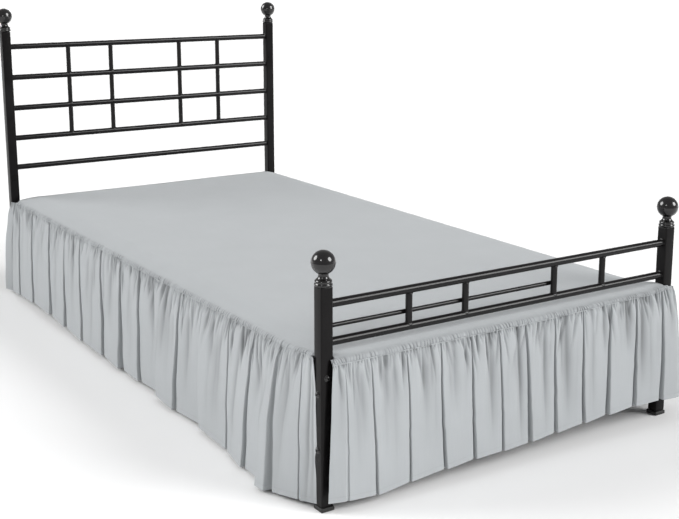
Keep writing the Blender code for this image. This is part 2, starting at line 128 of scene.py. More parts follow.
# A fold is a narrow valley between two soft panels. "seam" and "hem" are its places along the
# ruffle at the top and the bottom, "before" and "after" how far the panels' lips stand out at
# the hem, "top" and "half" its half widths at the seam and there, "depth" how far it goes in,
# "clear" the hem's height above the floor, "flare" how late it widens, and "start" the height,
# from 0 at the seam to 1 at the hem, where it begins.
Fold = namedtuple("Fold", "seam hem before after top half depth clear flare start",
                  defaults=(1.3, 0.0))
SIDE_FOLDS = tuple(Fold(*row) for row in (
    (0.982, 1.010, 0.542, 0.543, 0.0022, 0.0040, 0.010, 0.010, 1.0),
    (0.938, 0.918, 0.547, 0.545, 0.0028, 0.0052, 0.016, 0.017, 1.2),
    (0.812, 0.780, 0.547, 0.543, 0.0030, 0.0048, 0.016, 0.024, 1.2),
    (0.645, 0.608, 0.548, 0.543, 0.0035, 0.0090, 0.018, 0.025, 5.0),
    (0.500, 0.475, 0.548, 0.542, 0.0010, 0.0075, 0.015, 0.017, 3.5, 0.45),
    (0.372, 0.326, 0.548, 0.544, 0.0026, 0.0055, 0.016, 0.014, 1.6),
    (0.207, 0.161, 0.548, 0.542, 0.0026, 0.0052, 0.015, 0.015, 1.6),
    (0.055, 0.025, 0.551, 0.541, 0.0025, 0.0110, 0.018, 0.012, 2.4),
    (-0.074, -0.098, 0.545, 0.539, 0.0050, 0.0070, 0.016, 0.013, 4.0),
    (-0.185, -0.222, 0.534, 0.553, 0.0026, 0.0052, 0.006, 0.016, 1.3, 0.10),
    (-0.338, -0.340, 0.555, 0.548, 0.0030, 0.0062, 0.020, 0.010, 1.2),
    (-0.455, -0.482, 0.538, 0.553, 0.0022, 0.0042, 0.008, 0.013, 1.0),
    (-0.613, -0.642, 0.555, 0.557, 0.0030, 0.0064, 0.020, 0.010, 1.2),
    (-0.735, -0.752, 0.573, 0.566, 0.0026, 0.0052, 0.014, 0.009),
    (-0.800, -0.842, 0.568, 0.592, 0.0029, 0.0059, 0.008, 0.009, 1.3, 0.10),
    (-0.855, -0.893, 0.590, 0.576, 0.0039, 0.0078, 0.016, 0.009),
    (-0.948, -0.972, 0.552, 0.550, 0.0016, 0.0033, 0.008, 0.013),
))
FOOT_FOLDS = tuple(Fold(*row) for row in (
    (-0.478, -0.478, 1.060, 1.061, 0.0018, 0.0040, 0.003, 0.026),
    (-0.411, -0.402, 1.060, 1.064, 0.0015, 0.0030, 0.008, 0.021),
    (-0.317, -0.313, 1.061, 1.064, 0.0016, 0.0026, 0.010, 0.030),
    (-0.222, -0.214, 1.060, 1.065, 0.0018, 0.0035, 0.014, 0.036),
    (-0.135, -0.130, 1.060, 1.065, 0.0018, 0.0035, 0.016, 0.041),
    (-0.055, -0.045, 1.062, 1.065, 0.0018, 0.0030, 0.014, 0.040),
    (0.026, 0.037, 1.062, 1.065, 0.0034, 0.0066, 0.016, 0.044),
    (0.118, 0.120, 1.060, 1.066, 0.0020, 0.0040, 0.012, 0.048),
    (0.210, 0.211, 1.061, 1.066, 0.0020, 0.0040, 0.016, 0.053),
    (0.304, 0.290, 1.060, 1.068, 0.0022, 0.0045, 0.016, 0.058),
    (0.390, 0.383, 1.061, 1.067, 0.0025, 0.0050, 0.015, 0.060),
    (0.480, 0.474, 1.067, 1.073, 0.0027, 0.0055, 0.016, 0.060),
))
# A pleat is a softer crease within a panel, given one by one: where it is at its top and its
# bottom, the height where it ends, its depth and half width, and the height where it starts.
Pleat = namedtuple("Pleat", "top bottom end depth width start", defaults=(0.0,))
SIDE_PLEATS = tuple(Pleat(*row) for row in (
    (0.958, 0.952, 0.45, 0.0031, 0.010), (0.872, 0.850, 0.30, 0.0041, 0.010),
    (0.842, 0.842, 0.15, 0.0051, 0.008), (0.712, 0.690, 0.60, 0.0031, 0.014, 0.05),
    (0.556, 0.548, 0.40, 0.0034, 0.012), (0.432, 0.418, 0.50, 0.0058, 0.010),
    (0.243, 0.238, 0.55, 0.0041, 0.012), (0.120, 0.098, 0.80, 0.0034, 0.014),
    (0.092, 0.066, 0.28, 0.0051, 0.007), (-0.019, -0.022, 0.13, 0.0044, 0.007),
    (-0.052, -0.046, 0.16, 0.0058, 0.007), (-0.127, -0.155, 0.30, 0.0037, 0.010),
    (-0.155, -0.190, 0.70, 0.0058, 0.012), (-0.236, -0.222, 0.18, 0.0068, 0.007),
    (-0.258, -0.246, 0.75, 0.0075, 0.015), (-0.290, -0.294, 0.95, 0.0027, 0.014, 0.05),
    (-0.395, -0.400, 1.00, 0.0027, 0.015, 0.10), (-0.500, -0.489, 0.24, 0.0065, 0.006),
    (-0.528, -0.536, 0.50, 0.0068, 0.008), (-0.575, -0.582, 1.00, 0.0037, 0.013, 0.10),
    (-0.680, -0.690, 0.34, 0.0051, 0.008), (-0.706, -0.696, 0.28, 0.0068, 0.008),
    (-0.780, -0.790, 0.55, 0.0041, 0.012, 0.10), (-0.905, -0.912, 0.60, 0.0037, 0.010),
    (-0.930, -0.930, 0.20, 0.0076, 0.005), (-0.986, -0.992, 1.30, 0.0060, 0.004),
    (-0.999, -1.006, 1.20, 0.0040, 0.003, 0.05),
))
FOOT_PLEATS = tuple(Pleat(*row) for row in (
    (-0.438, -0.432, 0.70, 0.0044, 0.010, 0.02), (-0.390, -0.381, 0.30, 0.0031, 0.006),
    (-0.375, -0.370, 0.50, 0.0048, 0.006), (-0.354, -0.342, 0.48, 0.0048, 0.006),
    (-0.329, -0.320, 0.26, 0.0044, 0.005), (-0.298, -0.298, 0.15, 0.0037, 0.004),
    (-0.267, -0.275, 0.60, 0.0041, 0.008), (-0.251, -0.250, 0.45, 0.0051, 0.006),
    (-0.206, -0.209, 0.22, 0.0048, 0.004), (-0.186, -0.186, 0.65, 0.0048, 0.009),
    (-0.082, -0.077, 0.98, 0.0058, 0.008), (-0.068, -0.066, 0.14, 0.0044, 0.004),
    (-0.033, -0.029, 0.14, 0.0051, 0.004), (-0.006, -0.003, 0.12, 0.0048, 0.004),
    (0.003, 0.010, 1.10, 0.0088, 0.006), (0.065, 0.069, 0.36, 0.0054, 0.006),
    (0.084, 0.086, 1.05, 0.0061, 0.007), (0.138, 0.136, 0.65, 0.0044, 0.005),
    (0.153, 0.159, 1.10, 0.0075, 0.011), (0.237, 0.239, 0.20, 0.0058, 0.005),
    (0.277, 0.281, 0.50, 0.0078, 0.007), (0.341, 0.331, 0.20, 0.0061, 0.006),
    (0.358, 0.358, 0.55, 0.0085, 0.008), (0.410, 0.406, 0.95, 0.0093, 0.010),
    (0.428, 0.428, 0.10, 0.0054, 0.005), (0.439, 0.433, 0.18, 0.0068, 0.005),
    (0.460, 0.463, 0.12, 0.0068, 0.005), (0.500, 0.502, 0.14, 0.0051, 0.006),
))
END_HEIGHTS = (0.0, 0.14, 0.50, 1.0)    # where the ends' places below are given, seam to hem
HEAD_ENDS = (1.000, 1.022, 1.044, 1.048)
LEFT_FOOT_ENDS = (-1.006, -1.010, -1.014, -1.016)
RIGHT_FOOT_ENDS = (-0.966, -0.966, -0.966, -0.966)
FOOT_RUFFLE_ENDS = (-0.506, -0.509, -0.514, -0.521)
HEAD_END_OUT = 0.554     # how far out those ends stand at the hem
LEFT_FOOT_END_OUT = 0.526
RIGHT_FOOT_END_OUT = 0.548
FOOT_ENDS_OUT = (1.050, 1.086)
CREASE_SHUT = 0.0070     # a pleat this deep is closed, and its painted shade at its darkest
LIP_ROLL = 0.0016        # how far a panel's rolled lip reaches past the valley
CREASE_HEIGHT = 0.63     # faint fold line across the foot ruffle
CREASE_SPAN = 0.022
CREASE_SHIFT = 0.0016    # how far the folds step sideways there
CREASE_DIP = 0.0007

# The foot ruffle turns the right-hand corner on a small arc round this pivot.
TURN_ACROSS = 0.5185
TURN_ALONG = 1.0300
TURN_LENGTH = 0.060      # cloth taken up by the turn
TURN_PAST = 0.042        # and how far the ruffle carries on along the side
TURN_FALL = 0.032        # its top edge drops this much on the way


# ---- the studio's camera ------------------------------------------------------------------
LENS, LENS_SHIFT = 63.52, -0.07
CAMERA_PLACE = (-1.7905, -3.0561, 1.1770)
CAMERA_DIP, CAMERA_HEADING = 0.2122, -0.5738    # radians below level, and turned from +Y


# ---- settings -----------------------------------------------------------------------------
def length(name, description, default, low, high, precision=4):
    """A setting in metres."""
    return FloatProperty(name=name, description=description, default=default, min=low, max=high,
                         precision=precision, unit="LENGTH")


def amount(name, description, default, high):
    return FloatProperty(name=name, description=description, default=default, min=0.0, max=high)


def tint(description, default, name="Colour"):
    return FloatVectorProperty(name=name, description=description, subtype="COLOR",
                               default=default, min=0.0, max=1.0)


class BEDSKIRT_PG_cloth(bpy.types.PropertyGroup):
    colour: tint("Colour of the cloth", (0.386, 0.404, 0.416))
    thickness: length("Thickness", "Thickness of the deck, and room inside a turned hem",
                      0.0008, 0.0003, 0.0015)
    pitch: length("Column Pitch", "Distance between the mesh columns of a panel",
                  0.00115, 0.0008, 0.02)
    rows: IntProperty(
        name="Rows", description="Mesh rows from the seam to the hem", default=36, min=12, max=120)
    crown: length("Crown", "How far a panel bows out between two folds", 0.0005, 0.0, 0.02)
    gather_pitch: length("Gather Pitch", "Mean distance between gathers along the seam",
                         0.0078, 0.004, 0.05)
    gather_depth: length("Gather Depth", "Depth of the deepest gathers", 0.0105, 0.0, 0.02)
    pucker: length("Pucker Pitch", "Distance between the small puckers at the seam",
                   0.0080, 0.003, 0.05)
    pucker_depth: length("Pucker Depth", "Depth of the small puckers at the seam",
                         0.0017, 0.0, 0.005)
    hem: length("Hem Stitches", "Height of the stitches above the hem's edge",
                0.012, 0.0, 0.05, 3)
    weave: length("Weave", "Distance between threads", 0.0007, 0.0002, 0.005)
    seed: IntProperty(
        name="Seed", description="Another number gives other gathers", default=7, min=0)


class BEDSKIRT_PG_metal(bpy.types.PropertyGroup):
    colour: tint("Colour of the coating", (0.0046, 0.0041, 0.0043))
    roughness: amount("Roughness", "Roughness of the coating", 0.30, 1.0)
    sides: IntProperty(
        name="Sides", description="Sides of a round tube", default=40, min=12, max=96)
    post_edge: length("Post Edge", "Radius of the square posts' edges", 0.0032, 0.0005, 0.008)
    weld: length("Weld", "Radius of the weld beads", 0.0019, 0.0005, 0.005)
    bolt_radius: length("Bolt Radius", "Radius of a bolt's domed head", 0.0062, 0.002, 0.012)


class BEDSKIRT_PG_studio(bpy.types.PropertyGroup):
    floor: tint("Colour of the floor", (0.94, 0.94, 0.94), "Floor")
    sky: amount("Sky", "Strength of the light from all round", 0.38, 4.0)
    key: amount("Key", "Strength of the main lights", 2.45, 20.0)


# ---- small numeric helpers ----------------------------------------------------------------
def smoothstep(low, high, value):
    part = np.clip((value - low) / (high - low), 0.0, 1.0)
    return part * part * (3.0 - 2.0 * part)


def between(start, end, part):
    return start + (end - start) * part


def bed_point(across, along, height):
    return Vector((across, along + LONG_SHIFT, height))


def smooth_through(marks, values, wanted):
    """A smooth curve through a few marks, with no overshoot between them."""
    marks, values = np.array(marks), np.array(values)
    slopes = np.diff(values) / np.diff(marks)
    tangents = np.zeros(len(marks))
    inner = slopes[:-1] * slopes[1:] > 0
    tangents[1:-1][inner] = 2.0 / (1.0 / slopes[:-1][inner] + 1.0 / slopes[1:][inner])
    tangents[-1] = slopes[-1]
    wanted = np.clip(wanted, marks[0], marks[-1])
    step = np.clip(np.searchsorted(marks, wanted, side="right") - 1, 0, len(marks) - 2)
    wide = marks[step + 1] - marks[step]
    part = (wanted - marks[step]) / wide
    return ((2 * part ** 3 - 3 * part ** 2 + 1) * values[step]
            + (part ** 3 - 2 * part ** 2 + part) * wide * tangents[step]
            + (3 * part ** 2 - 2 * part ** 3) * values[step + 1]
            + (part ** 3 - part ** 2) * wide * tangents[step + 1])


def through_points(points, samples):
    """Catmull-Rom curve through points, an array of (row, point, 2), at samples from 0 to 1."""
    first = 2 * points[:, :1] - points[:, 1:2]
    last = 2 * points[:, -1:] - points[:, -2:-1]
    padded = np.concatenate([first, points, last], axis=1)
    place = samples * (points.shape[1] - 1)
    step = np.minimum(place.astype(int), points.shape[1] - 2)
    part = (place - step)[None, :, None]
    one, two, three, four = (padded[:, step + offset] for offset in range(4))
    return 0.5 * (2 * two + (three - one) * part
                  + (2 * one - 5 * two + 4 * three - four) * part ** 2
                  + (3 * two - one - 3 * three + four) * part ** 3)


# ---- finishes -----------------------------------------------------------------------------
class Signal:
    """A value in a shader; Python's arithmetic on it adds Math nodes."""

    def __init__(self, finish, socket):
        self.finish, self.socket = finish, socket

    def math(self, operation, *values, clamp=False):
        return self.finish.node("ShaderNodeMath", {"operation": operation, "use_clamp": clamp},
                                dict(enumerate(values)))

    def __add__(self, other):
        return self.math("ADD", self, other)

    def __radd__(self, other):
        return self.math("ADD", other, self)

    def __sub__(self, other):
        return self.math("SUBTRACT", self, other)

    def __rsub__(self, other):
        return self.math("SUBTRACT", other, self)

    def __mul__(self, other):
        return self.math("MULTIPLY", self, other)

    def __gt__(self, other):
        return self.math("GREATER_THAN", self, other)

    def __lt__(self, other):
        return self.math("LESS_THAN", self, other)

    def wave(self):
        return self.math("SINE", self)

    def remainder(self, size):
        return self.math("FLOORED_MODULO", self, size)


class Finish:
    """A node material, built up from the Principled shader."""

    def __init__(self, name, **constants):
        self.material = bpy.data.materials.new(name)
        self.material.use_nodes = True
        self.tree = self.material.node_tree
        self.shader = self.tree.nodes["Principled BSDF"]
        for socket, value in constants.items():
            self.shader.inputs[socket.replace("_", " ")].default_value = value

    def node(self, kind, settings=None, inputs=None, output=0):
        """Adds a node, sets it up, feeds its sockets with values or links, and gives an output."""
        made = self.tree.nodes.new(kind)
        for setting, value in (settings or {}).items():
            setattr(made, setting, value)
        for socket, value in (inputs or {}).items():
            if isinstance(value, Signal):
                self.tree.links.new(value.socket, made.inputs[socket])
            else:
                made.inputs[socket].default_value = value
        return Signal(self, made.outputs[output])

    def feed(self, socket, signal):
        self.tree.links.new(signal.socket, self.shader.inputs[socket])

    def attribute(self, name):
        return self.node("ShaderNodeAttribute", {"attribute_name": name}, output=2)

    def place(self):
        """Where a spot is on its own object."""
        return self.node("ShaderNodeTexCoord", output=3)

    def noise(self, vector, scale, detail=2.0, roughness=0.5):
        return self.node("ShaderNodeTexNoise", {},
                         {"Vector": vector, "Scale": scale, "Detail": detail,
                          "Roughness": roughness})

    def spread(self, value, low, high):
        """Carries 0..1 noise, which keeps near its middle, onto low..high."""
        return self.node("ShaderNodeMapRange", {"clamp": True},
                         {"Value": value, "From Min": 0.3, "From Max": 0.7,
                          "To Min": low, "To Max": high})

    def blend(self, factor, first, second):
        mixed = self.node("ShaderNodeMix", {"data_type": "RGBA"}, {"Factor": factor}, output=2)
        node = mixed.socket.node
        for index, colour in ((6, first), (7, second)):
            if isinstance(colour, Signal):
                self.tree.links.new(colour.socket, node.inputs[index])
            else:
                node.inputs[index].default_value = (*colour, 1.0)
        return mixed

    def bump(self, height, distance, strength=1.0, normal=None):
        inputs = {"Height": height, "Distance": distance, "Strength": strength}
        if normal is not None:
            inputs["Normal"] = normal
        return self.node("ShaderNodeBump", {}, inputs)


def shade(colour, factor):
    return tuple(channel * factor for channel in colour)


def cloth_finish():
    """Fine plain weave in a pale grey, brushed and matte, with a line of stitches at the hem, and
    painted shade: the colour is darkened where a crease or a seam pucker is closed.
    """
    cloth = bpy.context.scene.bedskirt_cloth
    finish = Finish("brushed_plain_weave", Sheen_Weight=0.12, Sheen_Roughness=0.6,
                    Specular_IOR_Level=0.25)
    flat = finish.node("ShaderNodeUVMap", {"uv_map": "flat_cut"})
    across = finish.node("ShaderNodeSeparateXYZ", {}, {0: flat})
    up = Signal(finish, across.socket.node.outputs[1])
    turns = 2 * math.pi / cloth.weave
    warp = (across * turns).wave()
    weft = (up * turns).wave()
    threads = warp * weft
    fibres = finish.noise(flat, 1400.0, 3.0, 0.6)
    slubs = finish.noise(finish.node("ShaderNodeMapping", {}, {"Vector": flat,
                                                               "Scale": (220.0, 14.0, 1.0)}), 1.0)
    patches = finish.noise(flat, 7.0, 3.0, 0.55)
    tone = finish.spread(patches, 0.0, 0.6) + finish.spread(slubs, 0.0, 0.4)
    body = finish.blend(tone, shade(cloth.colour, 0.965), shade(cloth.colour, 1.025))
    line = (up > cloth.hem - 0.0006) * (up < cloth.hem + 0.0006)
    stitch = line * (across.remainder(0.0032) > 0.0008)
    thread = finish.blend(stitch * 0.55, body, shade(cloth.colour, 0.80))
    woven = finish.blend((0.5 + threads * 0.5) * 0.10, thread, shade(cloth.colour, 0.88))
    crease = finish.attribute("crease")
    pucker = finish.attribute("pucker")
    painted_shade = crease.math("MAXIMUM", crease.math("MULTIPLY", crease, 0.66, clamp=True), pucker * 0.85)
    # painted shade: the colour goes toward deep grey where a crease or a seam pucker is closed
    finish.feed("Base Color", finish.blend(painted_shade, woven, shade(cloth.colour, 0.27)))
    finish.feed("Roughness", finish.spread(fibres, 0.84, 0.96))
    fine = finish.bump(threads + fibres * 1.5, 0.00010, 0.5)
    finish.feed("Normal", finish.bump(0.0 - line * 1.0 + stitch * 1.6, 0.0004, 0.7, fine))
    return finish.material


def metal_finish():
    """Glossy black coating with the faint ripple of sprayed lacquer."""
    metal = bpy.context.scene.bedskirt_metal
    finish = Finish("black_lacquered_steel", Metallic=0.0, Specular_IOR_Level=0.08,
                    Coat_Roughness=0.05)
    place = finish.place()
    ripple = finish.noise(place, 260.0, 1.0, 0.4)
    wipe = finish.noise(place, 14.0, 3.0, 0.6)
    dust = finish.noise(place, 900.0, 2.0, 0.5)
    finish.feed("Base Color", finish.blend(finish.spread(wipe, 0.0, 1.0), tuple(metal.colour),
                                           shade(metal.colour, 1.5)))
    finish.feed("Roughness", finish.spread(wipe, metal.roughness - 0.04, metal.roughness + 0.06))
    finish.feed("Coat Weight", finish.attribute("polish"))
    fine = finish.bump(dust, 0.00001, 0.5)
    finish.feed("Normal", finish.bump(ripple, 0.00006, 0.35, fine))
    return finish.material


def shoe_finish():
    """Matt black moulded plastic with a fine spark grain."""
    finish = Finish("matt_moulded_plastic", Specular_IOR_Level=0.35)
    place = finish.place()
    grain = finish.noise(place, 1500.0, 2.0, 0.6)
    scuff = finish.noise(place, 60.0, 4.0, 0.65)
    finish.feed("Base Color", finish.blend(finish.spread(scuff, 0.0, 1.0), (0.014, 0.014, 0.014),
                                           (0.032, 0.031, 0.030)))
    finish.feed("Roughness", finish.spread(grain, 0.50, 0.68))
    finish.feed("Normal", finish.bump(grain, 0.00012, 0.6))
    return finish.material


FINISHES = {"skirt_cloth": cloth_finish, "black_metal": metal_finish, "shoe_plastic": shoe_finish}
made_finishes = {}


def finish_for(slot):
    if slot not in made_finishes:
        made_finishes[slot] = FINISHES[slot]()
    return made_finishes[slot]


# ---- building blocks ----------------------------------------------------------------------
def add_object(name, data):
    made = bpy.data.objects.new(name, data)
    bpy.context.scene.collection.objects.link(made)
    return made


def add_piece(name, shape, slot, nodes=(), smooth=math.radians(40), facing=None, polish=0.28):
    """Turns a bmesh, already in place, into a piece that stands for some of the model's nodes.
    An open sheet says which way it faces; anything else is closed."""
    mesh = bpy.data.meshes.new(name)
    if slot == "black_metal":
        layer = shape.verts.layers.float.new("polish")
        for vertex in shape.verts:
            vertex[layer] = polish
    bmesh.ops.recalc_face_normals(shape, faces=shape.faces)
    if facing:
        turned_away = sum(face.normal.dot(facing) * face.calc_area() for face in shape.faces) < 0
        if turned_away:
            bmesh.ops.reverse_faces(shape, faces=shape.faces)
    shape.to_mesh(mesh)
    shape.free()
    piece = add_object(name, mesh)
    mesh.materials.append(finish_for(slot))
    mesh.shade_smooth()
    mesh.set_sharp_from_angle(angle=smooth)
    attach(piece, "root")
    if nodes:
        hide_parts(*nodes)
    return piece


def add_box(shape, low, high, edge, segments=3):
    """A box with rounded edges, between two corners."""
    made = bmesh.ops.create_cube(shape, size=1.0)["verts"]
    bmesh.ops.scale(shape, verts=made, vec=high - low)
    bmesh.ops.translate(shape, verts=made, vec=(low + high) / 2)
    edges = list({line for vertex in made for line in vertex.link_edges})
    bmesh.ops.bevel(shape, geom=edges, offset=edge, segments=segments, profile=0.5,
                    affect="EDGES", material=-1)


def axis_turn(axis):
    """Rotation that carries +Z onto an axis."""
    return Vector((0, 0, 1)).rotation_difference(Vector(axis)).to_matrix().to_4x4()


def add_rod(shape, start, end, radius, sides):
    """A round bar from start to end."""
    axis = end - start
    place = Matrix.Translation((start + end) / 2) @ axis_turn(axis)
    made = bmesh.ops.create_cone(shape, cap_ends=True, segments=sides, radius1=radius,
                                 radius2=radius, depth=axis.length, matrix=place)
    return made["verts"]


def add_ring(shape, centre, axis, radius, thickness, sides, saddle=0.0):
    """A weld bead: a torus round an axis. On a round rail of radius saddle it follows the rail,
    which runs along X."""
    section = bmesh.ops.create_circle(shape, segments=8, radius=thickness,
                                      matrix=Matrix.Translation((radius, 0, 0))
                                      @ Matrix.Rotation(math.pi / 2, 4, "X"))["verts"]
    ring = {line for vertex in section for line in vertex.link_edges}
    before = set(shape.verts) - set(section)
    bmesh.ops.spin(shape, geom=list(section) + list(ring), cent=(0, 0, 0), axis=(0, 0, 1),
                   angle=2 * math.pi, steps=sides, use_merge=True)
    made = [vertex for vertex in shape.verts if vertex not in before]
    if saddle:
        for vertex in made:
            vertex.co.z += math.sqrt(max(0.0, saddle ** 2 - vertex.co.y ** 2)) - saddle
    bmesh.ops.transform(shape, matrix=Matrix.Translation(centre) @ axis_turn(axis), verts=made)


def add_turned(shape, profile, centre, axis=(0, 0, 1), steps=64):
    """A turned piece: a closed profile of (radius, height) spun round an axis."""
    before = set(shape.verts)
    line = [shape.verts.new((radius, 0.0, height)) for radius, height in profile]
    edges = [shape.edges.new(pair) for pair in zip(line, line[1:])]
    bmesh.ops.spin(shape, geom=line + edges, cent=(0, 0, 0), axis=(0, 0, 1),
                   angle=2 * math.pi, steps=steps, use_merge=True)
    made = [vertex for vertex in shape.verts if vertex not in before]
    bmesh.ops.remove_doubles(shape, verts=made, dist=0.00002)
    made = [vertex for vertex in shape.verts if vertex not in before]
    bmesh.ops.transform(shape, matrix=Matrix.Translation(centre) @ axis_turn(axis), verts=made)


# ---- the cloth ----------------------------------------------------------------------------
def cloth_sheet(name, places, cut, node, facing, outside=None):
    """A sheet through an array of places, (row, column, 3). "cut" gives each place's spot on the
    flat cloth, in metres, and how far it is closed in a crease and in a pucker of the seam, from
    0 to 1, which the cloth's finish paints as shade. "outside" says which faces to leave out."""
    rows, columns = places.shape[:2]
    shape = bmesh.new()
    bmesh.ops.create_grid(shape, x_segments=columns - 1, y_segments=rows - 1, size=0.5)
    shape.verts.index_update()
    spots = cut.reshape(-1, 4)
    # the crease and pucker layers hold painted shade for the cloth's finish
    crease = shape.verts.layers.float.new("crease")
    pucker = shape.verts.layers.float.new("pucker")
    for vertex, place, spot in zip(shape.verts, places.reshape(-1, 3), spots):
        vertex.co = place
        vertex[crease], vertex[pucker] = spot[2:]
    flat = shape.loops.layers.uv.new("flat_cut")
    for face in shape.faces:
        for loop in face.loops:
            loop[flat].uv = spots[loop.vert.index, :2]
    if outside:
        dropped = [face for face in shape.faces if outside(face.calc_center_median())]
        bmesh.ops.delete(shape, geom=dropped, context="FACES")
    return add_piece(name, shape, "skirt_cloth", (node,), math.radians(80), facing)


def side_share(along):
    """How much of the side fall is left: the side seam lifts towards the foot."""
    return 1.0 - SIDE_LIFT * smoothstep(*SIDE_LIFT_SPAN, -along)


def foot_share(across):
    """The foot seam lifts a little towards the right."""
    return 1.0 - FOOT_LIFT * smoothstep(*FOOT_LIFT_SPAN, across)


def corner_lift(across, along):
    return (CORNER_LIFT * smoothstep(*CORNER_LIFT_ACROSS, across)
            * smoothstep(*CORNER_LIFT_ALONG, -along))


def steps_to(marks, pitch):
    """Steps from the first mark to the last, about a pitch apart, that stop at every mark."""
    steps = [marks[0]]
    for low, high, near in zip(marks, marks[1:], pitch):
        count = max(1, round((high - low) / near))
        steps += [between(low, high, part / count) for part in range(1, count + 1)]
    return np.array(steps)


def ripples(across, along, generator, waves):
    """Gentle unevenness: a few crossing waves, each (length, height)."""
    total = 0.0
    for length, height in waves:
        heading, phase = generator.uniform(0, math.pi), generator.uniform(0, 2 * math.pi)
        travel = across * math.cos(heading) + along * math.sin(heading)
        total = total + height * np.sin(travel * 2 * math.pi / length + phase)
    return total


def deck_height(across, along):
    """The middle of the deck's cloth, before any unevenness."""
    side_drop = smooth_through([step.out for step in SIDE_FALL],
                               [step.drop for step in SIDE_FALL], np.abs(across))
    foot_drop = smooth_through([step.out for step in FOOT_FALL],
                               [step.drop for step in FOOT_FALL], -along)
    inner = 1.0 - smoothstep(FLATTEN_ALONG, NOTCH_BACK, -along)
    share = side_share(along) * np.where(np.abs(across) <= NOTCH_ACROSS, inner, 1.0)
    share = np.where((np.abs(across) > NOTCH_ACROSS) & (along <= -NOTCH_FRONT), 0.0, share)
    return (DECK_TOP - CAD_CLOTH / 2 - side_drop * share - foot_drop * foot_share(across)
            + corner_lift(across, along))


def build_deck():
    cloth = bpy.context.scene.bedskirt_cloth
    generator = random.Random(cloth.seed)
    half = steps_to([step.out for step in SIDE_FALL], (0.016, 0.004, 0.003, 0.0025, 0.0017, 0.0010))
    across = np.concatenate([-half[:0:-1], half])[None, :]
    marks = [-DECK_HEAD] + [step.out for step in FOOT_FALL]
    along = -steps_to(marks, (0.016, 0.016, 0.005, 0.0035, 0.003, 0.0018, 0.0010))[:, None]
    edge = np.minimum(SIDE_FALL[-1].out - np.abs(across), FOOT_FALL[-1].out + along)
    waves = ripples(across, along, generator, ((0.46, 0.0005), (0.31, 0.0004), (0.19, 0.00025)))
    height = deck_height(across, along) + (waves - 0.0006) * smoothstep(0.01, 0.06, edge)
    height = height - SEAM_SINK * (1.0 - smoothstep(0.003, 0.013, edge))
    reach = HEAD_TAIL * smoothstep(*HEAD_TAIL_SPAN, np.abs(across))
    tail = reach * smoothstep(DECK_HEAD - 0.12, DECK_HEAD, along)
    places = np.stack(np.broadcast_arrays(across, along + tail + LONG_SHIFT, height), axis=-1)
    cut = np.stack(np.broadcast_arrays(across, DECK_HEAD - along, 0.0, 0.0), axis=-1)

    def outside(point):
        back, front = LONG_SHIFT - NOTCH_BACK, LONG_SHIFT - NOTCH_FRONT
        beside = abs(point.x) > NOTCH_ACROSS and front < point.y < back
        past_strip = point.x < -STRIP_LEFT and point.y < back
        return beside or past_strip

    deck = cloth_sheet("deck_cloth", places, cut, "deck", (0, 0, 1), outside)
    wall = deck.modifiers.new("thickness", "SOLIDIFY")
    wall.thickness = cloth.thickness
    wall.offset = 0.0


def gathers(generator, low, high, drop):
    """The seam's fine gathers: close together, most of them short, in tighter and looser spells."""
    cloth = bpy.context.scene.bedskirt_cloth
    phases = [generator.uniform(0, 2 * math.pi) for _ in range(4)]
    made = []
    place = low
    while place < high:
        spell = 0.5 + 0.5 * math.sin(place * 19 + phases[0]) * math.sin(place * 7.3 + phases[1])
        place += cloth.gather_pitch * generator.uniform(0.55, 1.45)
        length = 0.045 + 0.40 * generator.random() ** 2.2
        depth = cloth.gather_depth * generator.uniform(0.30, 1.0) * (0.45 + 0.55 * spell)
        lean = (0.30 * math.sin(place * 11 + phases[2]) * math.sin(place * 4.1 + phases[3])
                + generator.uniform(-0.18, 0.18))
        width = generator.uniform(0.0017, 0.0032)
        made.append(Pleat(place, place + lean * length * drop, length, depth, width))
    return made


def loose_creases(generator, folds, ends):
    """Long faint creases down the panels."""
    marks = sorted([fold.seam for fold in folds] + list(ends))
    made = []
    for low, high in zip(marks, marks[1:]):
        for _ in range(max(1, round((high - low) / 0.045))):
            place = between(low, high, generator.uniform(0.15, 0.85))
            bottom = place + generator.uniform(-0.008, 0.008)
            start = generator.uniform(0.0, 0.2)
            made.append(Pleat(place, bottom, generator.uniform(0.45, 1.3),
                              generator.uniform(0.0010, 0.0030), generator.uniform(0.006, 0.012),
                              start))
    return made


def creased(pleats, along, height):
    """How far the pleats draw the cloth in, at each place: a crease is a sharp valley whose
    sides run out softly, so the cloth between two puffs up."""
    total = np.zeros(along.shape)
    for pleat in pleats:
        reach = 6.0 * pleat.width + abs(pleat.bottom - pleat.top)
        near_columns = np.abs(along[0] - pleat.top) < reach + 0.06
        if not near_columns.any():
            continue
        place, level = along[:, near_columns], height[:, near_columns]
        run = (level - pleat.start) / (pleat.end - pleat.start)
        centre = between(pleat.top, pleat.bottom, np.clip(run, 0.0, 1.0))
        wide = pleat.width * (1.0 + 0.9 * np.clip(run, 0.0, 1.0))
        rise = 0.80 + 0.20 * smoothstep(pleat.start, pleat.start + 0.03, level)
        if pleat.start > 0.0:
            rise = smoothstep(pleat.start, pleat.start + 0.12, level)
        fade = 1.0 - smoothstep(0.30, 1.0, run)
        sharp = 0.13 * wide
        away = (np.hypot(place - centre, sharp) - sharp) / wide
        total[:, near_columns] += pleat.depth * rise * fade * (np.exp(-away) - 0.25
                                                                 * np.exp(-away * 0.35))
    return total


def at_heights(ends, height):
    return np.interp(height, END_HEIGHTS, ends)


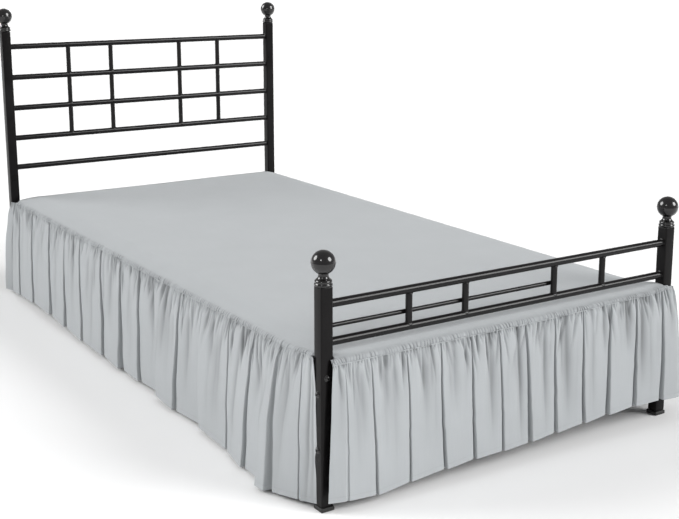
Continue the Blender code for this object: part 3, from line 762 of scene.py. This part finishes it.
def ruffle_lines(folds, pleats, first, last, reach, base, generator, kink=0.0):
    """The ruffle in its own terms: along, out and height from 0 to 1, each (row, column), and
    the distance along the cloth. "first" and "last" are its ends at each row, and "base" gives
    the heading's distance out."""
    cloth = bpy.context.scene.bedskirt_cloth
    height = (np.arange(cloth.rows + 1) / cloth.rows) ** 1.35
    ease = height ** 0.6
    first, last = at_heights(first, height), at_heights(last, height)
    way = 1.0 if last[0] > first[0] else -1.0
    crease = kink * np.exp(-((height - CREASE_HEIGHT) / CREASE_SPAN) ** 2)
    samples = np.linspace(0.0, 1.0, 17)
    turn = smoothstep(0.0, 1.0, samples)
    parts_along, parts_out = [], []

    def add_panel(start, start_out, end, end_out):
        wide = abs(float(np.mean(end - start)))
        count = max(4, round(wide / cloth.pitch))
        step = np.arange(count) / count
        part = step - 0.09 * np.sin(2 * np.pi * step)
        crown = min(1.0, wide / 0.09) * cloth.crown * generator.uniform(0.75, 1.25)
        bow = 1.0 - np.abs(2 * part - 1) ** 2.4
        parts_along.append(start[:, None] + (end - start)[:, None] * part)
        parts_out.append(between(start_out[:, None], end_out[:, None], part)
                         + crown * ease[:, None] * bow)

    edge, edge_out = first, between(base(first), reach[0], ease)
    for fold in folds:
        bow = generator.uniform(-0.004, 0.004) * np.sin(np.pi * height)
        centre = between(fold.seam, fold.hem, height) + bow
        centre = centre + crease * generator.choice((-1.0, 1.0))
        begun = np.clip((height - fold.start) / (1.0 - fold.start), 0.0, 1.0)
        half = between(fold.top, fold.half, height ** fold.flare)
        depth = fold.depth * begun ** 0.45
        before = between(base(centre), fold.before, ease)
        after = between(base(centre), fold.after, ease)
        lip = half + LIP_ROLL * np.minimum(1.0, height * 4)
        add_panel(edge, edge_out, centre - way * lip, before)
        left = [(-lip, 0.0), (-0.95 * half, -0.07 * depth), (-0.72 * half, -0.35 * depth),
                (-0.80 * half, -0.78 * depth), (0.0 * half, -1.0 * depth)]
        outline = left + [(-along, out) for along, out in reversed(left[:-1])]
        points = np.stack([np.stack(np.broadcast_arrays(along, out * np.ones_like(height)), -1)
                           for along, out in outline], axis=1)
        curve = through_points(points, samples)[:, :-1]
        parts_along.append(centre[:, None] + way * curve[..., 0])
        parts_out.append(between(before[:, None], after[:, None], turn[:-1]) + curve[..., 1])
        edge, edge_out = centre + way * lip, after
    end_out = between(base(last), reach[1], ease)
    add_panel(edge, edge_out, last, end_out)
    parts_along.append(last[:, None])
    parts_out.append(end_out[:, None])

    along, out = np.concatenate(parts_along, axis=1), np.concatenate(parts_out, axis=1)
    level = height[:, None] * np.ones_like(along)
    out = out - creased(pleats, along, level)
    waves = ripples(along, level * 0.3, generator,
                    ((0.21, 0.0006), (0.13, 0.0005), (0.075, 0.0003)))
    out = out + waves * smoothstep(0, 0.3, level)
    out = out - CREASE_DIP * np.exp(-((level - CREASE_HEIGHT) / 0.012) ** 2) * (kink > 0.0)
    row = len(height) * 2 // 3
    step = np.hypot(np.diff(along[row]), np.diff(out[row]))
    return along, out, level, np.concatenate([[0.0], np.cumsum(step)])


def hem_height(folds, along):
    marks = sorted((fold.hem, fold.clear) for fold in folds)
    return np.interp(along, [mark[0] for mark in marks], [mark[1] for mark in marks])


def turned_under(places, cut, facing):
    """Folds a sheet's two ends and its last row back behind it, as narrow hems."""
    gap = bpy.context.scene.bedskirt_cloth.thickness * 1.2
    normals = np.cross(np.gradient(places, axis=1), np.gradient(places, axis=0))
    normals /= np.maximum(np.linalg.norm(normals, axis=2, keepdims=True), 1e-9)
    behind = -normals * gap * np.sign((normals @ np.array(facing)).mean())

    def folded(values, mirrored, offset):
        """Ends first, then the bottom; mirrored spots lie past the edge on the flat cloth."""
        near, far = [7, 4, 2, 0], [-1, -3, -5, -8]
        first, last = values[:, near] + offset[:, near], values[:, far] + offset[:, far]
        if mirrored:
            first, last = 2 * values[:, :1] - first, 2 * values[:, -1:] - last
        wide = np.concatenate([first, values, last], axis=1)
        back = np.concatenate([offset[:, near], offset, offset[:, far]], axis=1)
        hem = wide[[-1, -2, -3]] + back[[-1, -2, -3]]
        if mirrored:
            hem = 2 * wide[-1:] - hem
        return np.concatenate([wide, hem])

    return folded(places, False, behind), folded(cut, True, np.zeros_like(cut))


def seam_band(lay, tucked, lying, puffs):
    """The top of a ruffle's sheet, which stands for the deck's gathered edge: it rolls over the
    edge and lies along the deck, drawn in by the stitches. "lay" gives the deck's place at a
    distance in from its edge, and "lying" is 0 where there is no deck, and it tucks up instead."""
    rows = []
    for step, (inset, lift) in enumerate(SEAM_BAND):
        across, along = lay(inset)
        pull = SEAM_PULL * puffs * math.exp(-max(inset, 0.0) / SEAM_PULL_REACH)
        laid = np.stack([across, along + LONG_SHIFT, deck_height(across, along) + lift - pull],
                        axis=-1)
        upright = tucked + np.array((0.0, 0.0, SEAM_TUCK * (len(SEAM_BAND) - step) / 10))
        rows.append(between(upright, laid, lying[:, None]))
    return np.stack(rows)


def seam_puckers(spread, below, generator):
    """Small sharp puckers on both sides of the seam's stitches, from 0 to 1, which push the cloth
    in and are painted as shade too. "below" is how far below the seam a place is."""
    cloth = bpy.context.scene.bedskirt_cloth
    drift = ripples(spread, 0.0, generator, ((0.090, 0.0022), (0.050, 0.0016), (0.031, 0.0011)))
    lean = ripples(spread, 0.0, generator, ((0.170, 0.35), (0.070, 0.25)))
    strength = 0.6 + ripples(spread, 0.0, generator, ((0.130, 0.22), (0.041, 0.2), (0.023, 0.15)))
    wave = np.sin((spread + drift + lean * below) * 2 * math.pi / cloth.pucker)
    fade = 1.0 - smoothstep(0.004, 0.015, np.abs(below - 0.001))
    return smoothstep(0.0, 0.95, wave) * np.clip(strength, 0.1, 1.0) * fade


def ruffle_sheet(name, node, places, top, hem, level, spread, facing, lay, lying, drawn,
                 generator):
    """Places a ruffle, its top edge gathered over the deck's and its other edges hemmed. "drawn"
    is how far the pleats draw it in."""
    height = between(top, hem, level)
    hung = np.stack([places[0], places[1] + LONG_SHIFT, height], axis=-1)
    band = seam_band(lay, hung[0], lying, drawn[0])
    insets = np.array([inset for inset, _ in SEAM_BAND])[:, None]
    drop = np.concatenate([height[:1] - hem[:1] + SEAM_ROLL + insets, height - hem])
    # painted shade: how far each place is closed in a crease, and the seam's puckers, darken the
    # cloth's colour
    painted_shade = np.clip(drawn / CREASE_SHUT, 0.0, 1.0)
    near = np.exp(-np.maximum(insets, 0.0) / SEAM_PULL_REACH) * painted_shade[0]
    below = np.concatenate([np.broadcast_to(-SEAM_ROLL - insets, near.shape), height[:1] - height])
    pucker = seam_puckers(spread, below, generator)
    cut = np.stack([np.broadcast_to(spread, drop.shape), drop, np.concatenate([near, painted_shade]),
                    pucker], axis=-1)
    inward = np.where((below < 0.0)[..., None], (0.0, 0.0, -1.0), -np.array(facing, float))
    depth = bpy.context.scene.bedskirt_cloth.pucker_depth
    hung = np.concatenate([band, hung]) + inward * (pucker * depth)[..., None]
    hung, cut = turned_under(hung, cut, facing)
    piece = cloth_sheet(name, hung, cut, node, facing)


def on_edge(spans, edge):
    """1 where a ruffle's heading lies on the deck's edge, and 0 past both ends of it."""
    return smoothstep(*spans[0], edge) * (1 - smoothstep(*spans[1], edge))


def side_base(along):
    """The heading's distance out; it swings out past the posts at both ends."""
    past_post = HALF_SPAN + HALF_POST + NOTCH_CLEAR + CAD_CLOTH
    return between(SEAM_OUT_SIDE - SEAM_GAP, past_post, smoothstep(*PAST_POST_SPAN, np.abs(along)))


def build_side_ruffle(side, sign, foot_ends, foot_out, seed):
    generator = random.Random(seed)
    drop = DECK_TOP - SIDE_FALL[-1].drop
    pleats = list(SIDE_PLEATS) + gathers(generator, foot_ends[0] + 0.004, HEAD_ENDS[0], drop)
    pleats += loose_creases(generator, SIDE_FOLDS, (HEAD_ENDS[0], foot_ends[0]))
    along, out, level, spread = ruffle_lines(SIDE_FOLDS, pleats, HEAD_ENDS, foot_ends,
                                             (HEAD_END_OUT, foot_out), side_base, generator)
    top = DECK_TOP - CAD_CLOTH - SIDE_FALL[-1].drop * side_share(along) - SEAM_GAP
    edge = along[0]
    ruffle_sheet(side + "_ruffle_cloth", side + "_ruffle", (sign * out, along), top,
                 hem_height(SIDE_FOLDS, along), level, spread, (sign, 0, 0),
                 lambda inset: (sign * (SIDE_FALL[-1].out - inset) * np.ones_like(edge), edge),
                 on_edge(SIDE_LYING, edge),
                 creased(pleats, along, level), generator)


def foot_base(across):
    return (SEAM_OUT_FOOT - SEAM_GAP) * np.ones_like(across)


def turned(along, out):
    """The foot ruffle, carried round the right-hand corner where along passes it."""
    reach = out - TURN_ALONG
    turn = np.clip((along - TURN_ACROSS) / TURN_LENGTH, 0.0, 1.0) * math.pi / 2
    past = np.maximum(along - TURN_ACROSS - TURN_LENGTH, 0.0)
    across = np.minimum(along, TURN_ACROSS) + reach * np.sin(turn)
    return across, -TURN_ALONG - reach * np.cos(turn) + past


def build_foot_ruffle(seed):
    generator = random.Random(seed)
    tail = TURN_ACROSS + TURN_LENGTH + TURN_PAST
    drop = DECK_TOP - FOOT_FALL[-1].drop
    pleats = list(FOOT_PLEATS) + gathers(generator, FOOT_RUFFLE_ENDS[0] + 0.003, tail, drop)
    pleats += loose_creases(generator, FOOT_FOLDS, (FOOT_RUFFLE_ENDS[0], tail))
    along, out, level, spread = ruffle_lines(FOOT_FOLDS, pleats, FOOT_RUFFLE_ENDS, (tail,) * 4,
                                             FOOT_ENDS_OUT, foot_base, generator, kink=CREASE_SHIFT)
    top = (DECK_TOP - CAD_CLOTH - FOOT_FALL[-1].drop * foot_share(along) - SEAM_GAP
           + corner_lift(along, -SEAM_OUT_FOOT) - TURN_FALL * smoothstep(TURN_ACROSS, tail, along))
    edge = along[0]
    ruffle_sheet("foot_ruffle_cloth", "foot_ruffle", turned(along, out), top,
                 hem_height(FOOT_FOLDS, along), level, spread, (0, -1, 0),
                 lambda inset: (edge, (inset - FOOT_FALL[-1].out) * np.ones_like(edge)),
                 on_edge(FOOT_LYING, edge),
                 creased(pleats, along, level), generator)


# ---- operators ----------------------------------------------------------------------------
class BEDSKIRT_OT_deck(bpy.types.Operator):
    """Lay the deck over the slats, notched round the foot posts"""
    bl_idname = "bedskirt.deck"
    bl_label = "Deck"

    def execute(self, context):
        build_deck()
        return {"FINISHED"}


class BEDSKIRT_OT_side_ruffles(bpy.types.Operator):
    """Hang the gathered ruffles along both sides"""
    bl_idname = "bedskirt.side_ruffles"
    bl_label = "Side Ruffles"

    def execute(self, context):
        seed = context.scene.bedskirt_cloth.seed
        build_side_ruffle("left", -1.0, LEFT_FOOT_ENDS, LEFT_FOOT_END_OUT, seed + 1)
        build_side_ruffle("right", 1.0, RIGHT_FOOT_ENDS, RIGHT_FOOT_END_OUT, seed + 2)
        return {"FINISHED"}


class BEDSKIRT_OT_foot_ruffle(bpy.types.Operator):
    """Hang the gathered ruffle across the foot and round the right-hand corner"""
    bl_idname = "bedskirt.foot_ruffle"
    bl_label = "Foot Ruffle"

    def execute(self, context):
        build_foot_ruffle(context.scene.bedskirt_cloth.seed + 3)
        return {"FINISHED"}


def post_rise(corner):
    return POST_RISE[corner.split("_")[0]]


class BEDSKIRT_OT_posts(bpy.types.Operator):
    """Make the square posts and their plastic shoes"""
    bl_idname = "bedskirt.posts"
    bl_label = "Posts"

    def execute(self, context):
        metal = context.scene.bedskirt_metal
        for corner in CORNERS:
            low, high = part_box(corner + "_post")
            high = high + Vector((0.0, 0.0, post_rise(corner)))
            shape = bmesh.new()
            add_box(shape, low, high, metal.post_edge, 5)
            add_piece(corner + "_post_tube", shape, "black_metal", (corner + "_post",), polish=0.12)
            low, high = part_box(corner + "_shoe")
            shape = bmesh.new()
            add_box(shape, low, high, 0.0022, 4)
            add_piece(corner + "_shoe_cap", shape, "shoe_plastic", (corner + "_shoe",))
        return {"FINISHED"}


def finial_profile():
    """Radius and height: stepped flange, bell, neck, and a ball pressed from two halves."""
    flange = [(0.0, 0.0), (0.0180, 0.0), (0.0192, 0.0005), (0.0198, 0.0020), (0.0199, 0.0036),
              (0.0195, 0.0052), (0.0184, 0.0062), (0.0178, 0.0070), (0.0179, 0.0079),
              (0.0186, 0.0090), (0.0189, 0.0103), (0.0186, 0.0118), (0.0175, 0.0132),
              (0.0158, 0.0146), (0.0142, 0.0160), (0.0128, 0.0176), (0.0118, 0.0194),
              (0.0112, 0.0212), (0.0111, 0.0230)]
    radius, height, steps = 0.0265, 0.0500, 40
    low = math.asin(0.0115 / radius)
    ball = []
    for step in range(steps + 1):
        turn = between(low, math.pi, step / steps)
        seam = 0.0008 * math.exp(-((turn - math.pi / 2) / 0.04) ** 2)
        ball.append(((radius + seam) * math.sin(turn), height - radius * math.cos(turn)))
    ball[-1] = (0.0, height + radius)
    return flange + ball


class BEDSKIRT_OT_finials(bpy.types.Operator):
    """Turn the ball finials"""
    bl_idname = "bedskirt.finials"
    bl_label = "Finials"

    def execute(self, context):
        for corner in CORNERS:
            low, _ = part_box(corner + "_finial")
            centre = middle(corner + "_finial")
            shape = bmesh.new()
            foot = Vector((centre.x, centre.y, low.z + post_rise(corner)))
            add_turned(shape, finial_profile(), foot)
            add_piece(corner + "_finial_turning", shape, "black_metal", (corner + "_finial",),
                      math.radians(50), polish=1.0)
        return {"FINISHED"}


def ends_of(node, axis, past=0.0):
    """The ends of a node's middle line along an axis, each carried "past" further out."""
    low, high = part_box(node)
    ends = middle(node), middle(node)
    ends[0][axis], ends[1][axis] = low[axis] - past, high[axis] + past
    return ends


class BEDSKIRT_OT_rails(bpy.types.Operator):
    """Make the round rails, the upright bars and the thin rod, with their weld beads"""
    bl_idname = "bedskirt.rails"
    bl_label = "Rails and Bars"

    def execute(self, context):
        metal = context.scene.bedskirt_metal
        rails = ["head_rail_%d" % number for number in range(1, 6)]
        rails += ["foot_rail_1", "foot_rail_2", "foot_hidden_rail", "foot_low_cross"]
        for node in rails:
            shape = bmesh.new()
            add_rod(shape, *ends_of(node, 0, RAIL_PAST), RAIL_RADIUS, metal.sides)
            for end in ends_of(node, 0):
                add_ring(shape, end, (1, 0, 0), RAIL_RADIUS, metal.weld, metal.sides)
            add_piece(node + "_tube", shape, "black_metal", (node,))
        bars = ["head_bar_%d_%d" % (column, row) for column in range(1, 5) for row in range(1, 4)]
        bars += ["foot_bar_%d" % column for column in range(1, 5)]
        for node in bars:
            shape = bmesh.new()
            add_rod(shape, *ends_of(node, 2, BAR_PAST), BAR_RADIUS, metal.sides)
            for end, axis in zip(ends_of(node, 2), ((0, 0, 1), (0, 0, -1))):
                add_ring(shape, end, axis, BAR_RADIUS, metal.weld * 0.8, metal.sides, RAIL_RADIUS)
            add_piece(node + "_tube", shape, "black_metal", (node,))
        start, end = ends_of("foot_rod", 0)
        radius = extent("foot_rod").z * ROD_SHARE
        shape = bmesh.new()
        add_rod(shape, ends_of("foot_rod", 0, ROD_PAST)[0], end, radius, ROD_SIDES)
        add_ring(shape, start, (1, 0, 0), radius, ROD_WELD, ROD_SIDES)
        add_piece("foot_rod_tube", shape, "black_metal", ("foot_rod",))
        return {"FINISHED"}


class BEDSKIRT_OT_under_frame(bpy.types.Operator):
    """Make the side rails, ledges, slats and cross rails under the deck"""
    bl_idname = "bedskirt.under_frame"
    bl_label = "Under Frame"

    def execute(self, context):
        edges = {"left_side_rail": 0.003, "right_side_rail": 0.003, "left_ledge": 0.0008,
                 "right_ledge": 0.0008, "head_cross_rail": 0.003, "foot_cross_rail": 0.003}
        edges.update({"slat_%d" % number: 0.002 for number in range(1, 10)})
        for node, edge in edges.items():
            shape = bmesh.new()
            add_box(shape, *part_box(node), edge)
            add_piece(node + "_stock", shape, "black_metal", (node,))
        return {"FINISHED"}


def bolt_profile(radius):
    """A domed head with a round socket, on a thin washer."""
    return [(0.0, 0.0), (radius * 1.25, 0.0), (radius * 1.25, 0.0007), (radius * 1.02, 0.0009),
            (radius * 0.98, 0.0018), (radius * 0.86, 0.0031), (radius * 0.66, 0.0040),
            (radius * 0.46, 0.0044), (radius * 0.40, 0.0042), (radius * 0.38, 0.0024),
            (0.0, 0.0022)]


class BEDSKIRT_OT_bolts(bpy.types.Operator):
    """Fit the domed bolts that hold the rails to the posts"""
    bl_idname = "bedskirt.bolts"
    bl_label = "Bolts"

    def execute(self, context):
        radius = context.scene.bedskirt_metal.bolt_radius
        low_cross, cross = middle("foot_low_cross").z, middle("foot_cross_rail").z
        head_cross = middle("head_cross_rail").z
        places = [("foot_left", (-1, 0, 0), cross), ("foot_left", (-1, 0, 0), low_cross),
                  ("foot_left", (0, -1, 0), head_cross),
                  ("head_left", (-1, 0, 0), head_cross), ("head_left", (-1, 0, 0), low_cross),
                  ("head_right", (1, 0, 0), head_cross), ("head_right", (1, 0, 0), low_cross)]
        for number, (corner, facing, height) in enumerate(places):
            post = middle(corner + "_post")
            spot = Vector((post.x, post.y, height)) + Vector(facing) * (HALF_POST - 0.0001)
            shape = bmesh.new()
            add_turned(shape, bolt_profile(radius), spot, facing, 32)
            add_piece("bolt_%d" % (number + 1), shape, "black_metal", polish=1.0)
        return {"FINISHED"}


def add_light(name, kind, direction, strength):
    """A light that shines from a direction."""
    data = bpy.data.lights.new(name, kind)
    data.energy = strength
    light = add_object(name, data)
    light.rotation_euler = Vector(direction).to_track_quat("Z", "Y").to_euler()
    return light


def add_sun(name, direction, strength):
    """A broad, even light from far away."""
    add_light(name, "SUN", direction, strength).data.angle = math.radians(32)


def add_window(name, place, target, size, power):
    """A bright pane, which shows as a glint on the metal."""
    light = add_light(name, "AREA", Vector(place) - Vector(target), power)
    light.location = place
    light.data.shape = "RECTANGLE"
    light.data.size, light.data.size_y = size


class BEDSKIRT_OT_stage(bpy.types.Operator):
    """Set the pale floor, the soft light and the camera"""
    bl_idname = "bedskirt.stage"
    bl_label = "Stage"

    def execute(self, context):
        studio = context.scene.bedskirt_studio
        shape = bmesh.new()
        bmesh.ops.create_grid(shape, x_segments=1, y_segments=1, size=90.0)
        mesh = bpy.data.meshes.new("floor")
        shape.to_mesh(mesh)
        shape.free()
        floor = add_object("floor", mesh)
        paint = Finish("pale_floor", Base_Color=(*studio.floor, 1.0), Roughness=0.9,
                       Specular_IOR_Level=0.1)
        mesh.materials.append(paint.material)

        world = bpy.data.worlds.new("soft_room")
        world.use_nodes = True
        background = world.node_tree.nodes["Background"]
        background.inputs["Color"].default_value = (1.0, 1.0, 1.0, 1.0)
        background.inputs["Strength"].default_value = studio.sky
        context.scene.world = world
        add_sun("key_left", (-0.66, 0.58, 0.48), studio.key)
        add_sun("key_right", (0.56, -0.68, 0.48), studio.key * 1.14)
        add_window("window", (-2.6, -2.4, 2.1), (-0.5, -1.0, 0.5), (0.45, 0.55), studio.key * 5)

        data = bpy.data.cameras.new("view")
        data.lens, data.shift_y = LENS, LENS_SHIFT
        data.clip_end = 400.0
        camera = add_object("view", data)
        camera.location = bed_point(*CAMERA_PLACE)
        camera.rotation_euler = (math.pi / 2 - CAMERA_DIP, 0.0, CAMERA_HEADING)
        context.scene.camera = camera
        context.scene.view_settings.view_transform = "Standard"
        return {"FINISHED"}


class BEDSKIRT_PT_panel(bpy.types.Panel):
    """The bed skirt's pieces and settings"""
    bl_idname = "BEDSKIRT_PT_panel"
    bl_label = "Bed Skirt"
    bl_space_type = "VIEW_3D"
    bl_region_type = "UI"
    bl_category = "Bed Skirt"

    def draw(self, context):
        for group in (context.scene.bedskirt_cloth, context.scene.bedskirt_metal,
                      context.scene.bedskirt_studio):
            box = self.layout.box()
            for name in group.__annotations__:
                box.prop(group, name)
        for operator in OPERATORS:
            self.layout.operator(operator.bl_idname)


SETTINGS = {"bedskirt_cloth": BEDSKIRT_PG_cloth, "bedskirt_metal": BEDSKIRT_PG_metal,
            "bedskirt_studio": BEDSKIRT_PG_studio}
OPERATORS = (BEDSKIRT_OT_deck, BEDSKIRT_OT_side_ruffles, BEDSKIRT_OT_foot_ruffle,
             BEDSKIRT_OT_posts, BEDSKIRT_OT_finials, BEDSKIRT_OT_rails, BEDSKIRT_OT_under_frame,
             BEDSKIRT_OT_bolts, BEDSKIRT_OT_stage)


def register():
    for item in (*SETTINGS.values(), *OPERATORS, BEDSKIRT_PT_panel):
        bpy.utils.register_class(item)
    for name, group in SETTINGS.items():
        setattr(bpy.types.Scene, name, PointerProperty(type=group))


def unregister():
    for name in SETTINGS:
        delattr(bpy.types.Scene, name)
    for item in (BEDSKIRT_PT_panel, *reversed(OPERATORS), *SETTINGS.values()):
        bpy.utils.unregister_class(item)


def main():
    register()
    bpy.ops.bedskirt.stage()
    bpy.ops.bedskirt.deck()
    bpy.ops.bedskirt.side_ruffles()
    bpy.ops.bedskirt.foot_ruffle()
    bpy.ops.bedskirt.posts()
    bpy.ops.bedskirt.finials()
    bpy.ops.bedskirt.rails()
    bpy.ops.bedskirt.under_frame()
    bpy.ops.bedskirt.bolts()


if __name__ == "__main__":
    main()
